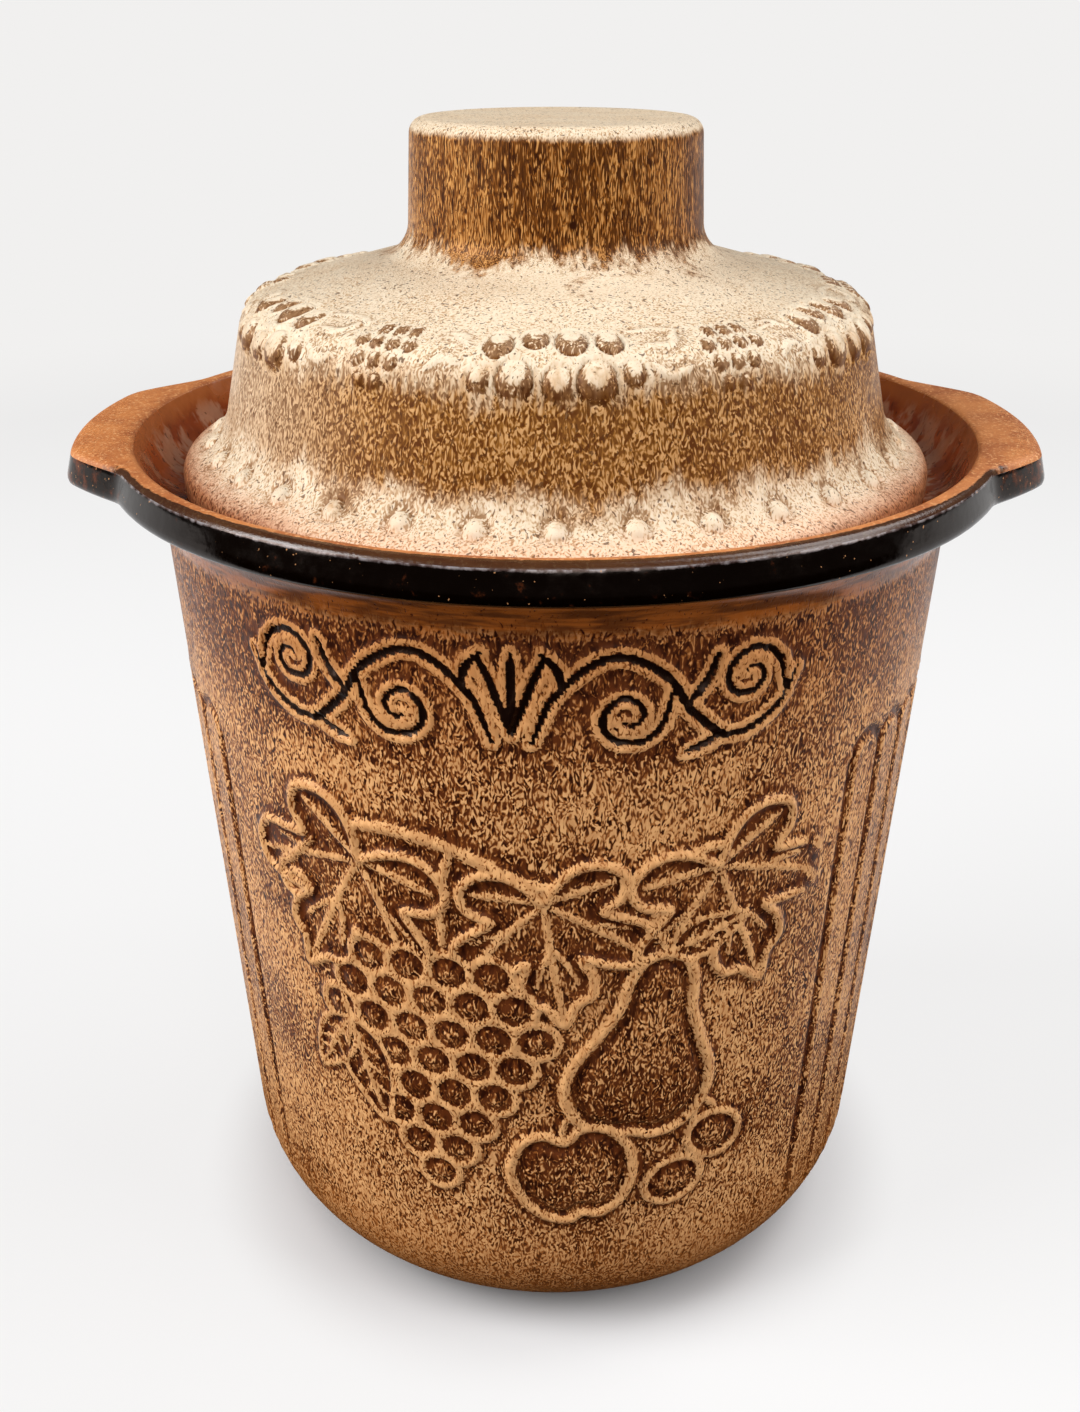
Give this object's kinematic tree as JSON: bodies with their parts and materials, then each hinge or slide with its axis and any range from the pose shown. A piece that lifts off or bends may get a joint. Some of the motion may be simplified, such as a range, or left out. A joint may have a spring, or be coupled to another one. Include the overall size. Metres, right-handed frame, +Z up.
{
  "type": "lidded fruit crock",
  "caption": "Glazed stoneware fruit crock with lug ears on a flared rim and a domed lid with a hollow drum knob.",
  "frame": {"origin": "middle of the foot ring, on the surface that the crock stands on", "axes": "+Z up along the crock's axis; the relief faces -Y; the ears reach out along +X and -X"},
  "size_m": [0.2404, 0.2208, 0.3],
  "materials": {
    "crock_glaze": "speckled tan and dark brown glaze, satin, with a gloss dark rim",
    "lid_glaze": "cream and tan streaked glaze, satin"
  },
  "bodies": {
    "crock_body": {"crock": "crock_glaze"},
    "lid_body": {"lid": "lid_glaze"}
  },
  "joints": [
    {"name": "lid_lift", "type": "slide", "parent": "crock_body", "child": "lid_body", "axis": [0, 0, 1], "range_m": [0, 0.12]}
  ]
}
